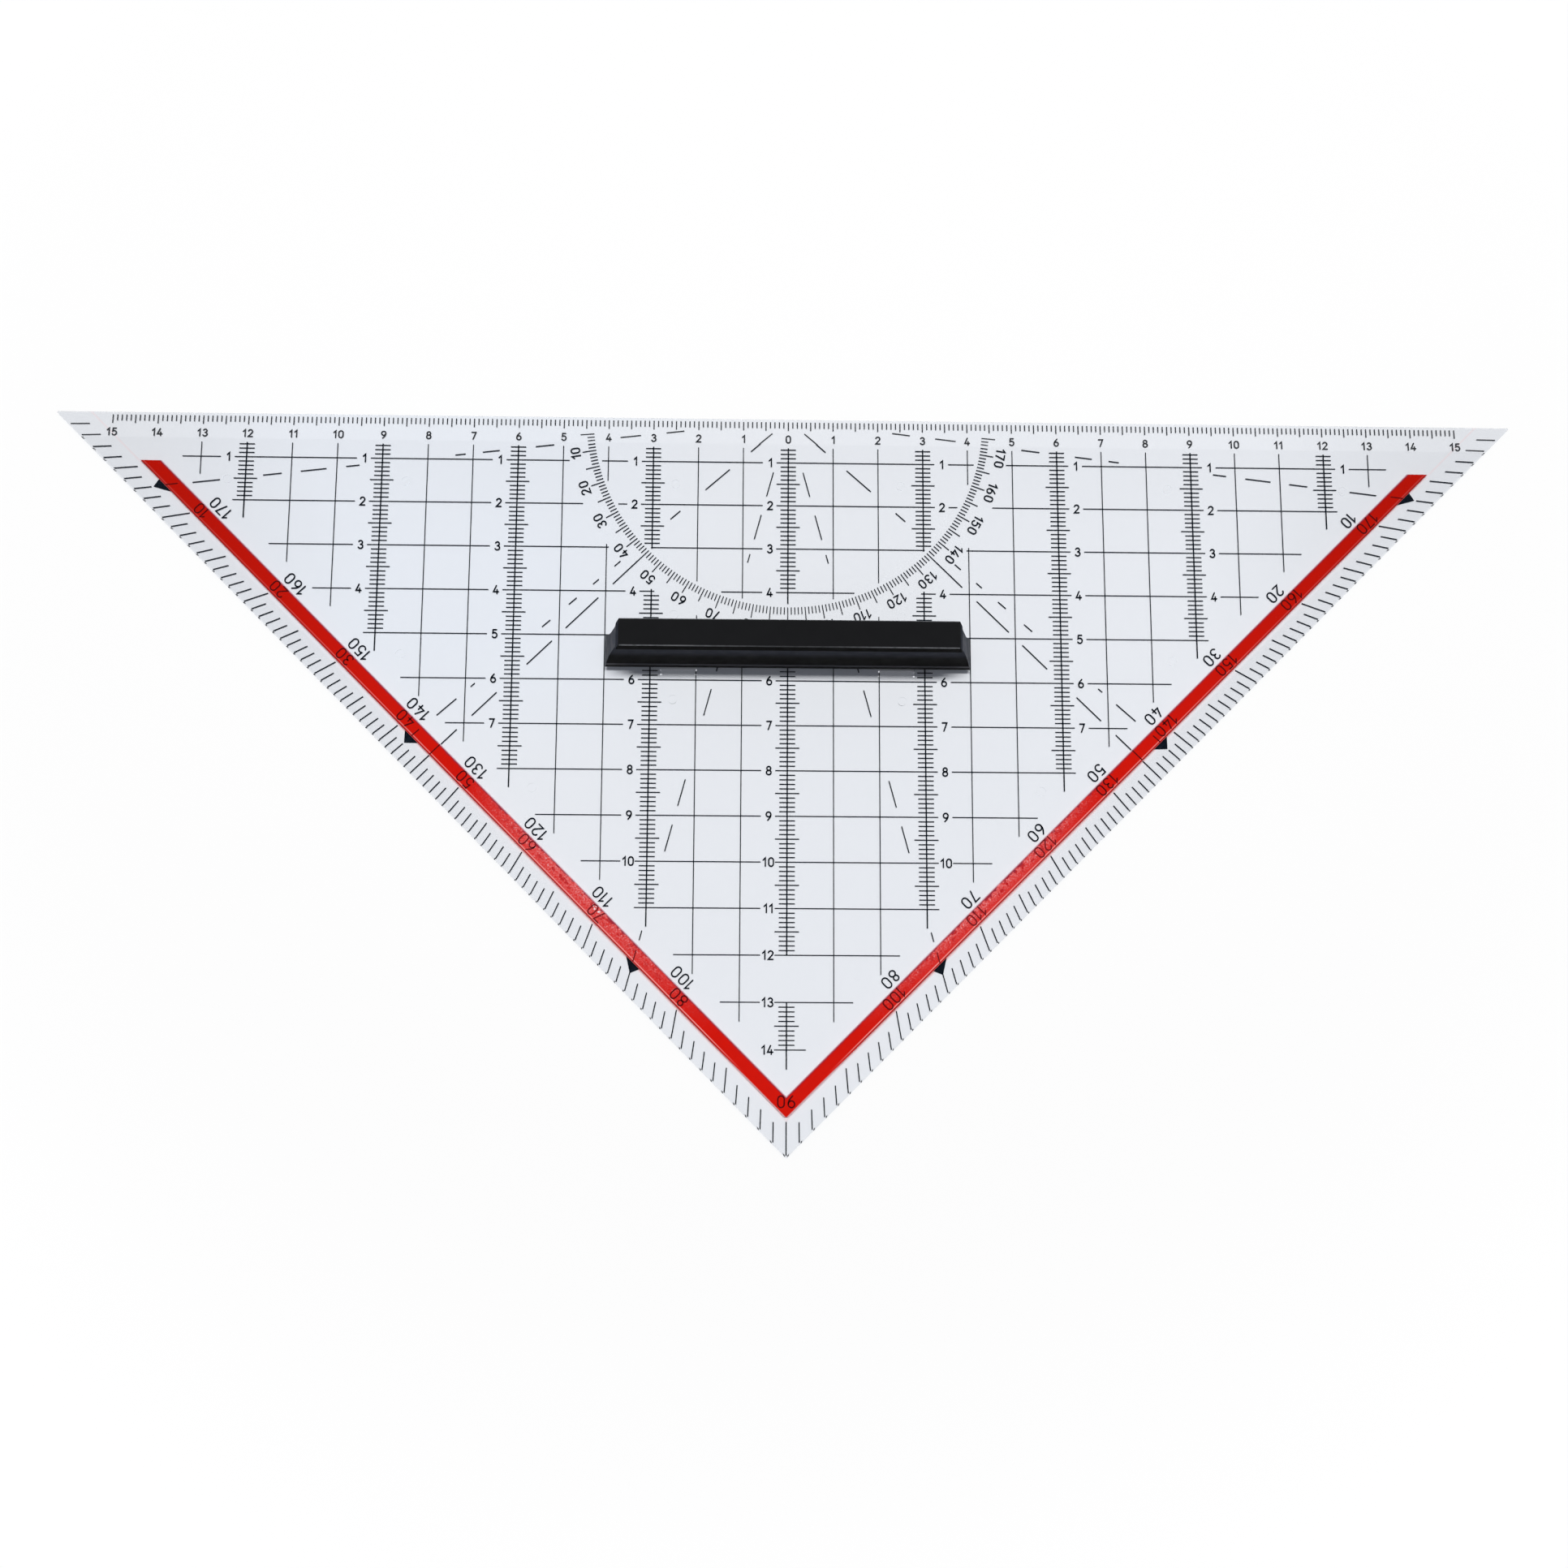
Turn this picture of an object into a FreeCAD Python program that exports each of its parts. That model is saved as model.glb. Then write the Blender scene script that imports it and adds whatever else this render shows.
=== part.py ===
"""Clear 45 degree drafting set square with a red backed degree scale and a plug-in grip.

Millimetres. The origin is the zero of the ruling edge, in the plane that the square rests on.
+X runs along the ruling edge, +Y points out of it, and +Z points up to the user.
The plate lies at y below 0, with its right angle at the lowest y.
"""
import FreeCAD, Part
import math
import os

from FreeCAD import Vector

# ---------------------------------------------------------------- plate
RULING_EDGE_LENGTH = 325.0
PLATE_THICKNESS = 2.0
CORNER_RADIUS = 0.25
RULING_EDGE_THICKNESS = 1.0
FACET_WIDTH = 6.2
LEG_BEVEL = 0.3

# moulded pips that hold the plate off wet ink
PIP_HEIGHT = 0.3
PIP_DIAMETER = 1.9
PIP_ROOT = 0.5
EDGE_PIP_DEPTH = 15.2
EDGE_PIP_X = (25.0, 84.6)
GRIP_PIP_X = 25.0
GRIP_PIP_OFFSETS = (8.8, -10.3)
LEG_PIP_INSET = 16.5
LEG_PIP_X = (15.0, 55.0, 84.4)

# ---------------------------------------------------------------- red band under the degree scale
BAND_OUTER_INSET = 5.75
BAND_WIDTH = 3.3
BAND_TOP_Y = -11.2
BAND_THICKNESS = 0.45
BAND_SIDE_CLEARANCE = 0.05
BAND_TOP_CLEARANCE = 0.05
BAND_TIP_RADIUS = 0.9

# ---------------------------------------------------------------- grip
GRIP_CENTRE_Y = -54.1
GRIP_HEIGHT = 16.2
GRIP_TOP_LENGTH = 72.0
GRIP_BASE_LENGTH = 79.5
LIP_DEPTH = 6.0
LIP_HEIGHT = 3.2
UNDERCUT_HEIGHT = 0.8
WAIST_DEPTH = 4.5
WAIST_FOOT_HEIGHT = 7.4
FLARE_MIDDLE_DEPTH = 5.0
FLARE_DEPTH = 6.2
FLARE_FOOT_HEIGHT = 1.7
RIM_DEPTH = 6.9
RIM_THICKNESS = 1.2
GRIP_CORNER_RADIUS = 0.25
GRIP_EDGE_BREAK = 0.22
GRIP_WALL = 1.1
GRIP_ROOF = 1.6
RIB_THICKNESS = 1.4
MIDDLE_RIBS = 3

# slots in the plate and the rib tips that plug into them
SLOT_LENGTH = 7.7
SLOT_DEPTH = 7.7
SLOT_CENTRE_X = 23.85
FOOT_SIDE_CLEARANCE = 0.06
FOOT_END_CLEARANCE = 0.15
FOOT_DEPTH = 4.6
FOOT_LEAD_IN = 0.35

# ---------------------------------------------------------------- print
INK_THICKNESS = 0.02
FINE_LINE = 0.24
PROTRACTOR_LINE = 0.2
GRID_LINE = 0.2
COMB_LINE = 0.28
COMB_MARK_LINE = 0.22
FIFTH = 5
TENTH = 10

# millimetre marks on the ruling edge
MARK_PITCH = 1.0
RULER_END_MARGIN = 12.0
RULER_MARK_START = 0.45
RULER_SHORT_MARK = 1.45
RULER_LONG_MARK = 2.05

# half circle of degree marks about the origin
PROTRACTOR_FIRST_DEGREE = 5
PROTRACTOR_RADIUS = 43.4
PROTRACTOR_SHORT_MARK = 1.6
PROTRACTOR_LONG_MARK = 3.1
PROTRACTOR_CLEARANCE_INSIDE = 0.8
PROTRACTOR_CLEARANCE_OUTSIDE = 6.2

# degree marks along the legs, as distances in from the leg's edge
LEG_MARK_START = 0.35
LEG_SHORT_MARK_END = 3.4
LEG_MIDDLE_MARK_END = 4.35
LEG_LONG_MARK_GAP = 0.4

# centimetre grid
GRID_PITCH = 10.0
GRID_TAIL = 4.1
GRID_START_Y = -6.6
MM_SCALE_PITCH = 30.0
COMB_FIRST_MARK = 7
COMB_SHORT_HALF = 1.7
COMB_LONG_HALF = 2.6
MIDDLE_COMB_REACH = 40.0
NUMERAL_GAP_NEAR = 2.6
NUMERAL_GAP_WIDTH = 3.05
SLOT_PRINT_MARGIN = 0.1
BARE_ZONE = (-130.0, -120.0)

# pointers and the broken lines that lead to them
POINTER_ANGLES = (7.0, 42.0, 75.0)
POINTER_BASE = 4.0
POINTER_HEIGHT = 2.0
POINTER_LINE_END = 8.0
BISECTOR_ANGLE = 45.0
BAND_PRINT_MARGIN = 0.1
GUIDE_DASHES = {
    7.0: [(23.4, 27.4), (33.1, 37.7), (52.5, 56.6), (64.6, 68.4), (72.2, 74.5),
          (95.7, 98.7), (103.0, 108.7), (112.9, 117.0), (126.5, 132.5)],
    42.0: [(4.8, 11.2), (17.5, 24.7), (32.1, 35.0), (49.6, 51.4), (55.9, 57.6),
           (62.3, 64.6), (69.9, 72.3), (91.4, 92.6), (96.6, 102.2)],
    BISECTOR_ANGLE: [(46.5, 54.4), (58.8, 68.7), (72.8, 80.4), (89.3, 96.7), (101.1, 107.0)],
    75.0: [(12.7, 18.5), (23.0, 28.8), (32.4, 34.4), (54.1, 60.1), (64.2, 70.3),
           (85.0, 91.0), (95.3, 101.3), (119.0, 121.1)],
}

# ---------------------------------------------------------------- derived levels and places
HALF_EDGE = RULING_EDGE_LENGTH / 2
UNDERSIDE_Z = PIP_HEIGHT
TOP_Z = UNDERSIDE_Z + PLATE_THICKNESS
INK_Z = UNDERSIDE_Z - INK_THICKNESS
GRIP_TOP_Z = TOP_Z + GRIP_HEIGHT
RIM_TOP_Z = TOP_Z + RIM_THICKNESS
BAND_INNER_INSET = BAND_OUTER_INSET + BAND_WIDTH
GROOVE_DEPTH = BAND_THICKNESS + BAND_TOP_CLEARANCE
OVER_BAND_INK_Z = UNDERSIDE_Z + GROOVE_DEPTH - INK_THICKNESS
GRID_REACH = GRID_PITCH * int(
    (HALF_EDGE - BAND_INNER_INSET * math.sqrt(2) - GRID_TAIL) / GRID_PITCH
)
CLEAR_RING = (
    PROTRACTOR_RADIUS - PROTRACTOR_CLEARANCE_INSIDE,
    PROTRACTOR_RADIUS + PROTRACTOR_CLEARANCE_OUTSIDE,
)
SIDES = (-1, 1)
TOUCH = 1e-6


# ---------------------------------------------------------------- helpers
def box(x_range, y_range, z_range):
    """A block between two values along each axis."""
    size = [high - low for low, high in (x_range, y_range, z_range)]
    return Part.makeBox(*size, Vector(x_range[0], y_range[0], z_range[0]))


def centred(middle, width):
    """The two ends of a span about its middle."""
    return (middle - width / 2, middle + width / 2)


def prism(points, z_bottom, height):
    """A straight sided solid over a flat outline given as (x, y) pairs."""
    corners = [Vector(x, y, z_bottom) for x, y in points]
    outline = Part.makePolygon(corners + corners[:1])
    return Part.Face(outline).extrude(Vector(0, 0, height))


def upright_edges(solid):
    """The edges of a prism that stand along Z."""
    return [edge for edge in solid.Edges if edge.BoundBox.ZLength > edge.Length / 2]


def leg_line_y(x, inset):
    """The y of a line parallel to the leg on x's side, set in from the leg's edge."""
    return inset * math.sqrt(2) - HALF_EDGE + abs(x)


def radius_at_inset(angle, inset):
    """How far from the origin a ray meets the line set in from a leg's edge."""
    turn = math.radians(angle)
    return (HALF_EDGE - inset * math.sqrt(2)) / (math.cos(turn) + math.sin(turn))


def ray_point(side, angle, radius):
    """A point on the ray that leaves the origin below the ruling edge on one side."""
    turn = math.radians(angle)
    return (side * radius * math.cos(turn), -radius * math.sin(turn))


def stroke(start, end, width, z_bottom=INK_Z):
    """One printed line between two (x, y) points: flat on the plate, and a low ridge below."""
    run = Vector(end[0] - start[0], end[1] - start[1], 0)
    across = Vector(-run.y, run.x, 0).normalize() * (width / 2)
    foot = Vector(start[0], start[1], z_bottom)
    flat = foot + Vector(0, 0, INK_THICKNESS)
    section = Part.makePolygon([flat - across, flat + across, foot, flat - across])
    return Part.Face(section).extrude(run)


def ray_stroke(side, angle, inner, outer, z_bottom=INK_Z, width=FINE_LINE):
    """A printed line along a ray, between two radii."""
    ends = ray_point(side, angle, inner), ray_point(side, angle, outer)
    return stroke(*ends, width, z_bottom)


def spans_without(span, gaps):
    """What is left of a span, as a list of spans, when some gaps are taken out."""
    left = [span]
    for low, high in gaps:
        pieces = []
        for start, end in left:
            if high <= start or low >= end:
                pieces.append((start, end))
                continue
            if low > start:
                pieces.append((start, low))
            if high < end:
                pieces.append((high, end))
        left = pieces
    return left


def save(name, shape):
    """Write one node's STEP file."""
    shape.exportStep(f"parts/{name}.step")
    print(name, len(shape.Solids), "solids", round(shape.Volume, 3), "mm3")


# ---------------------------------------------------------------- plate and band
def band_outline(spread):
    """The V of the band, grown on every side by spread."""
    outer, inner = BAND_OUTER_INSET - spread, BAND_INNER_INSET + spread
    top = BAND_TOP_Y + spread
    ends = [top - leg_line_y(0, inset) for inset in (outer, inner)]
    return [
        (-ends[0], top),
        (0, leg_line_y(0, outer)),
        (ends[0], top),
        (ends[1], top),
        (0, leg_line_y(0, inner)),
        (-ends[1], top),
    ]


def band_solid(spread, thickness):
    """The V strip, with the tip of the V rounded."""
    solid = prism(band_outline(spread), UNDERSIDE_Z, thickness)
    tip = min(upright_edges(solid), key=lambda edge: edge.CenterOfMass.y)
    return solid.makeFillet(BAND_TIP_RADIUS + spread, [tip])


def bevel_cutter(start, end, width, drop):
    """The wedge that slopes the plate's top down by drop over width, with the plate on the left."""
    along = (end - start).normalize()
    inward = Vector(-along.y, along.x, 0)
    slope = drop / width
    foot = start - along * width - inward * drop
    profile = [
        foot + Vector(0, 0, TOP_Z - drop - slope * drop),
        foot + Vector(0, 0, TOP_Z + drop),
        foot + inward * (drop + width + drop / slope) + Vector(0, 0, TOP_Z + drop),
    ]
    wedge = Part.Face(Part.makePolygon(profile + profile[:1]))
    return wedge.extrude(end - start + along * 2 * width)


def plate_blank():
    """The triangle with rounded corners, bevelled legs and the facet at the ruling edge."""
    corners = [(-HALF_EDGE, 0), (0, -HALF_EDGE), (HALF_EDGE, 0)]
    blank = prism(corners, UNDERSIDE_Z, PLATE_THICKNESS)
    blank = blank.makeFillet(CORNER_RADIUS, upright_edges(blank))
    left, apex, right = [Vector(x, y, 0) for x, y in corners]
    facet_drop = PLATE_THICKNESS - RULING_EDGE_THICKNESS
    cutters = [
        bevel_cutter(left, apex, LEG_BEVEL, LEG_BEVEL),
        bevel_cutter(apex, right, LEG_BEVEL, LEG_BEVEL),
        bevel_cutter(right, left, FACET_WIDTH, facet_drop),
    ]
    return blank.cut(cutters)


def grip_slot(side):
    """The hole through the plate that takes one pair of the grip's feet."""
    return box(
        centred(side * SLOT_CENTRE_X, SLOT_LENGTH),
        centred(GRIP_CENTRE_Y, SLOT_DEPTH),
        (UNDERSIDE_Z - PIP_HEIGHT, TOP_Z + PIP_HEIGHT),
    )


def pip(x, y):
    """One moulded pip, from the rest plane into the plate's skin."""
    return Part.makeCylinder(PIP_DIAMETER / 2, PIP_HEIGHT + PIP_ROOT, Vector(x, y, 0))


def pip_places():
    """The (x, y) of the pips on the right half: along the ruling edge, by the grip, along the leg."""
    corner_x = -EDGE_PIP_DEPTH - leg_line_y(0, LEG_PIP_INSET)
    by_edge = [(x, -EDGE_PIP_DEPTH) for x in EDGE_PIP_X + (corner_x,)]
    by_grip = [(GRIP_PIP_X, GRIP_CENTRE_Y + offset) for offset in GRIP_PIP_OFFSETS]
    by_leg = [(x, leg_line_y(x, LEG_PIP_INSET)) for x in LEG_PIP_X]
    return by_edge + by_grip + by_leg


def make_plate():
    """The clear plate with its pips, slots and band groove."""
    plate = plate_blank()
    pips = [pip(side * x, y) for x, y in pip_places() for side in SIDES]
    plate = plate.fuse(pips)
    plate = plate.cut([grip_slot(side) for side in SIDES])
    plate = plate.cut(band_solid(BAND_SIDE_CLEARANCE, GROOVE_DEPTH))
    return plate.removeSplitter()


# ---------------------------------------------------------------- grip
def grip_end_view():
    """The grip's section: a lip, an undercut waist that flares at its foot, and a rim."""
    lip_foot_z = GRIP_TOP_Z - LIP_HEIGHT
    flare_top_z = TOP_Z + WAIST_FOOT_HEIGHT
    flare_foot_z = TOP_Z + FLARE_FOOT_HEIGHT
    lip = [
        (LIP_DEPTH / 2, GRIP_TOP_Z),
        (LIP_DEPTH / 2, lip_foot_z),
        (WAIST_DEPTH / 2, lip_foot_z - UNDERCUT_HEIGHT),
    ]
    flare = [
        (WAIST_DEPTH / 2, flare_top_z),
        (FLARE_MIDDLE_DEPTH / 2, (flare_top_z + flare_foot_z) / 2),
        (FLARE_DEPTH / 2, flare_foot_z),
    ]
    rim = [(RIM_DEPTH / 2, RIM_TOP_Z), (RIM_DEPTH / 2, TOP_Z)]
    edges = []
    for way in SIDES:
        lip_points, flare_points, rim_points = [
            [Vector(-GRIP_BASE_LENGTH, GRIP_CENTRE_Y + way * half, z) for half, z in part]
            for part in (lip, flare, rim)
        ]
        edges += Part.makePolygon(lip_points + flare_points[:1]).Edges
        edges.append(Part.Arc(*flare_points).toShape())
        edges += Part.makePolygon(flare_points[-1:] + rim_points).Edges
        for end in (lip_points[0], rim_points[-1]):
            edges.append(Part.makeLine(end, Vector(end.x, GRIP_CENTRE_Y, end.z)))
    return Part.Face(Part.Wire(Part.sortEdges(edges)[0]))


def grip_side_view():
    """The grip from the front: straight ends that lean outwards towards the plate."""
    corners = [
        (-GRIP_BASE_LENGTH / 2, TOP_Z),
        (GRIP_BASE_LENGTH / 2, TOP_Z),
        (GRIP_TOP_LENGTH / 2, GRIP_TOP_Z),
        (-GRIP_TOP_LENGTH / 2, GRIP_TOP_Z),
    ]
    points = [Vector(x, GRIP_CENTRE_Y - RIM_DEPTH, z) for x, z in corners]
    return Part.Face(Part.makePolygon(points + points[:1]))


def grip_body():
    """The outer form: the end view and the side view run through, and what they share."""
    cross_form = grip_end_view().extrude(Vector(2 * GRIP_BASE_LENGTH, 0, 0))
    long_form = grip_side_view().extrude(Vector(0, 2 * RIM_DEPTH, 0))
    body = cross_form.common(long_form).removeSplitter()
    lip_foot_z = GRIP_TOP_Z - LIP_HEIGHT
    corners = [
        edge
        for edge in body.Edges
        if edge.BoundBox.ZMin > lip_foot_z - TOUCH and edge.BoundBox.ZLength > LIP_HEIGHT / 2
    ]
    body = body.makeFillet(GRIP_CORNER_RADIUS, corners)
    top = [edge for edge in body.Edges if edge.BoundBox.ZMin > GRIP_TOP_Z - TOUCH]
    return body.makeChamfer(GRIP_EDGE_BREAK, top)


def rib_places():
    """The middles of the cross ribs: the four foot ribs and the plain ones between them."""
    foot_offset = SLOT_LENGTH / 2 - FOOT_SIDE_CLEARANCE - RIB_THICKNESS / 2
    feet = [side * SLOT_CENTRE_X + way * foot_offset for side in SIDES for way in SIDES]
    inner_span = 2 * (SLOT_CENTRE_X - foot_offset)
    pitch = inner_span / (MIDDLE_RIBS + 1)
    plain = [-inner_span / 2 + pitch * (step + 1) for step in range(MIDDLE_RIBS)]
    return feet, plain


def plug_foot(x):
    """The tip of a foot rib below the rim, tapered at its end to find the slot."""
    end_z = UNDERSIDE_Z + FOOT_END_CLEARANCE
    foot = box(
        centred(x, RIB_THICKNESS),
        centred(GRIP_CENTRE_Y, FOOT_DEPTH),
        (end_z, RIM_TOP_Z),
    )
    tip_edges = [
        edge
        for edge in foot.Edges
        if edge.BoundBox.ZMax < end_z + TOUCH and edge.BoundBox.XLength < TOUCH
    ]
    return foot.makeChamfer(FOOT_LEAD_IN, tip_edges)


def make_grip():
    """The moulded grip, cored from below between cross ribs, with plug feet."""
    core = box(
        centred(0, GRIP_TOP_LENGTH - 2 * GRIP_WALL),
        centred(GRIP_CENTRE_Y, WAIST_DEPTH - 2 * GRIP_WALL),
        (TOP_Z, GRIP_TOP_Z - GRIP_ROOF),
    )
    feet, plain = rib_places()
    ribs = [
        box(centred(x, RIB_THICKNESS), centred(GRIP_CENTRE_Y, WAIST_DEPTH), (TOP_Z, GRIP_TOP_Z))
        for x in feet + plain
    ]
    grip = grip_body().cut(core.cut(ribs))
    grip = grip.fuse([plug_foot(x) for x in feet])
    return grip.removeSplitter()


# ---------------------------------------------------------------- print
def make_ruler_scale():
    """Millimetre marks on both sides of zero, longer at each fifth."""
    marks = []
    last = TENTH * int((HALF_EDGE - RULER_END_MARGIN) / (TENTH * MARK_PITCH))
    for count in range(-last, last + 1):
        length = RULER_LONG_MARK if count % FIFTH == 0 else RULER_SHORT_MARK
        start = (count * MARK_PITCH, -RULER_MARK_START)
        end = (count * MARK_PITCH, -RULER_MARK_START - length)
        marks.append(stroke(start, end, FINE_LINE))
    return Part.makeCompound(marks)


def make_protractor_scale():
    """Degree marks on a half circle about the zero point, longer at each fifth."""
    marks = []
    for degree in range(PROTRACTOR_FIRST_DEGREE, 180 - PROTRACTOR_FIRST_DEGREE + 1):
        length = PROTRACTOR_LONG_MARK if degree % FIFTH == 0 else PROTRACTOR_SHORT_MARK
        outer = PROTRACTOR_RADIUS + length
        marks.append(ray_stroke(-1, degree, PROTRACTOR_RADIUS, outer, width=PROTRACTOR_LINE))
    return Part.makeCompound(marks)


def leg_mark_end(degree):
    """How far in from the leg a degree mark reaches."""
    if degree % TENTH == 0:
        return BAND_OUTER_INSET - LEG_LONG_MARK_GAP
    if degree % FIFTH == 0:
        return LEG_MIDDLE_MARK_END
    return LEG_SHORT_MARK_END


def make_leg_degree_scale():
    """Degree marks along both legs, each on a ray from the zero point."""
    marks = []
    for degree in range(1, 91):
        outer = radius_at_inset(degree, LEG_MARK_START)
        inner = radius_at_inset(degree, leg_mark_end(degree))
        for side in SIDES if degree < 90 else SIDES[1:]:
            marks.append(ray_stroke(side, degree, inner, outer))
    return Part.makeCompound(marks)


def ring_gaps(offset):
    """The spans, measured from the axis, where a grid line crosses the protractor's ring."""
    inner, outer = CLEAR_RING
    if offset >= outer:
        return []
    far = math.sqrt(outer**2 - offset**2)
    near = math.sqrt(inner**2 - offset**2) if offset < inner else -far
    return [(near, far), (-far, -near)]


def in_ring(x, y):
    """True if a point lies in the ring that is kept clear for the protractor."""
    return CLEAR_RING[0] < math.hypot(x, y) < CLEAR_RING[1]


def numeral_gap(mm_scale_x):
    """The gap in a row beside one millimetre scale, on the side where its number stands."""
    way = 1 if mm_scale_x > 0 else -1
    near = mm_scale_x + way * NUMERAL_GAP_NEAR
    far = near + way * NUMERAL_GAP_WIDTH
    return (min(near, far), max(near, far))


def meets_slot(distance, slot_size):
    """True if a grid line this far from a slot's middle would run over the slot."""
    return abs(distance) < slot_size / 2 + SLOT_PRINT_MARGIN


def make_grid_lines_across():
    """The lines that run away from the ruling edge, one each centimetre."""
    lines = []
    columns = round(GRID_REACH / GRID_PITCH) - 1
    for column in range(-columns, columns + 1):
        x = column * GRID_PITCH
        last_y = -(GRID_REACH - abs(x)) - GRID_TAIL
        gaps = [tuple(sorted((-near, -far))) for near, far in ring_gaps(abs(x))[:1]]
        if column == 0:
            gaps.append(BARE_ZONE)
        if meets_slot(abs(x) - SLOT_CENTRE_X, SLOT_LENGTH):
            gaps.append(centred(GRIP_CENTRE_Y, SLOT_DEPTH + 2 * SLOT_PRINT_MARGIN))
        width = COMB_LINE if x % MM_SCALE_PITCH == 0 else GRID_LINE
        for low, high in spans_without((last_y, GRID_START_Y), gaps):
            lines.append(stroke((x, low), (x, high), width))
    return Part.makeCompound(lines)


def make_grid_lines_along():
    """The lines parallel to the ruling edge, one each centimetre, open at the numbers."""
    lines = []
    level = INK_Z - INK_THICKNESS
    for row in range(1, round(GRID_REACH / GRID_PITCH) + 1):
        y = -row * GRID_PITCH
        last_x = GRID_REACH - row * GRID_PITCH
        gaps = ring_gaps(-y)
        scales = int(last_x / MM_SCALE_PITCH)
        for scale in range(-scales, scales + 1):
            gap = numeral_gap(scale * MM_SCALE_PITCH)
            if not in_ring(sum(gap) / 2, y):
                gaps.append(gap)
        if meets_slot(y - GRIP_CENTRE_Y, SLOT_DEPTH):
            opening = SLOT_LENGTH + 2 * SLOT_PRINT_MARGIN
            gaps += [centred(side * SLOT_CENTRE_X, opening) for side in SIDES]
        for low, high in spans_without((-last_x - GRID_TAIL, last_x + GRID_TAIL), gaps):
            lines.append(stroke((low, y), (high, y), GRID_LINE, level))
    return Part.makeCompound(lines)


def comb_half_length(x, y, count):
    """Half the length of a comb's mark, which stays short beside the slots."""
    by_slot = meets_slot(abs(x) - SLOT_CENTRE_X, SLOT_LENGTH + 2 * COMB_LONG_HALF)
    by_slot = by_slot and meets_slot(y - GRIP_CENTRE_Y, SLOT_DEPTH)
    return COMB_LONG_HALF if count % FIFTH == 0 and not by_slot else COMB_SHORT_HALF


def make_millimetre_combs():
    """The millimetre marks on every third line that runs away from the ruling edge."""
    marks = []
    level = INK_Z - INK_THICKNESS
    combs = int(GRID_REACH / MM_SCALE_PITCH)
    for comb in range(-combs, combs + 1):
        x = comb * MM_SCALE_PITCH
        last = round((GRID_REACH - abs(x)) / MARK_PITCH)
        for count in range(COMB_FIRST_MARK, last):
            y = -count * MARK_PITCH
            by_ring = MIDDLE_COMB_REACH < -y < PROTRACTOR_RADIUS
            bare = comb == 0 and (by_ring or BARE_ZONE[0] < y < BARE_ZONE[1])
            if count % TENTH == 0 or bare or in_ring(x, y):
                continue
            half = comb_half_length(x, y, count)
            marks.append(stroke((x - half, y), (x + half, y), COMB_MARK_LINE, level))
    return Part.makeCompound(marks)


def make_angle_pointers():
    """Solid triangles on the band's outer edge, each pointing along its ray."""
    pointers = []
    for angle in POINTER_ANGLES:
        base_radius = radius_at_inset(angle, BAND_OUTER_INSET)
        tip_radius = radius_at_inset(angle, BAND_OUTER_INSET - POINTER_HEIGHT)
        for side in SIDES:
            base_x, base_y = ray_point(side, angle, base_radius)
            step = POINTER_BASE / 2 / math.sqrt(2)
            corners = [
                (base_x - side * step, base_y - step),
                (base_x + side * step, base_y + step),
                ray_point(side, angle, tip_radius),
            ]
            pointers.append(prism(corners, INK_Z - INK_THICKNESS, INK_THICKNESS))
    return Part.makeCompound(pointers)


def line_over_band(side, angle, inner_inset):
    """The stretch of a guide line that crosses the band, on the floor of the band's groove."""
    inner = radius_at_inset(angle, inner_inset)
    outer = radius_at_inset(angle, BAND_OUTER_INSET + BAND_PRINT_MARGIN)
    return ray_stroke(side, angle, inner, outer, OVER_BAND_INK_Z)


def make_guide_lines():
    """Broken lines along the marked angles, and their stretches over the band."""
    lines = []
    ring_marks = (PROTRACTOR_RADIUS, PROTRACTOR_RADIUS + PROTRACTOR_LONG_MARK)
    for angle, dashes in GUIDE_DASHES.items():
        beyond = (radius_at_inset(angle, BAND_INNER_INSET + BAND_PRINT_MARGIN), HALF_EDGE)
        pieces = [piece for dash in dashes for piece in spans_without(dash, [ring_marks, beyond])]
        lines += [ray_stroke(side, angle, *piece) for piece in pieces for side in SIDES]
    tick_end = radius_at_inset(BISECTOR_ANGLE, LEG_MIDDLE_MARK_END)
    band_edge = radius_at_inset(BISECTOR_ANGLE, BAND_OUTER_INSET - BAND_PRINT_MARGIN)
    for side in SIDES:
        lines += [line_over_band(side, angle, POINTER_LINE_END) for angle in POINTER_ANGLES]
        lines.append(line_over_band(side, BISECTOR_ANGLE, BAND_INNER_INSET - BAND_PRINT_MARGIN))
        lines.append(ray_stroke(side, BISECTOR_ANGLE, band_edge, tick_end))
    return Part.makeCompound(lines)


# ---------------------------------------------------------------- build
os.makedirs("parts", exist_ok=True)
save("plate", make_plate())
save("degree_band", band_solid(0, BAND_THICKNESS))
save("grip", make_grip())
save("ruler_scale", make_ruler_scale())
save("protractor_scale", make_protractor_scale())
save("leg_degree_scale", make_leg_degree_scale())
save("grid_lines_across", make_grid_lines_across())
save("grid_lines_along", make_grid_lines_along())
save("millimetre_combs", make_millimetre_combs())
save("angle_pointers", make_angle_pointers())
save("guide_lines", make_guide_lines())
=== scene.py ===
import math

import bmesh
import bpy
from mathutils import Matrix, Vector


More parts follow.
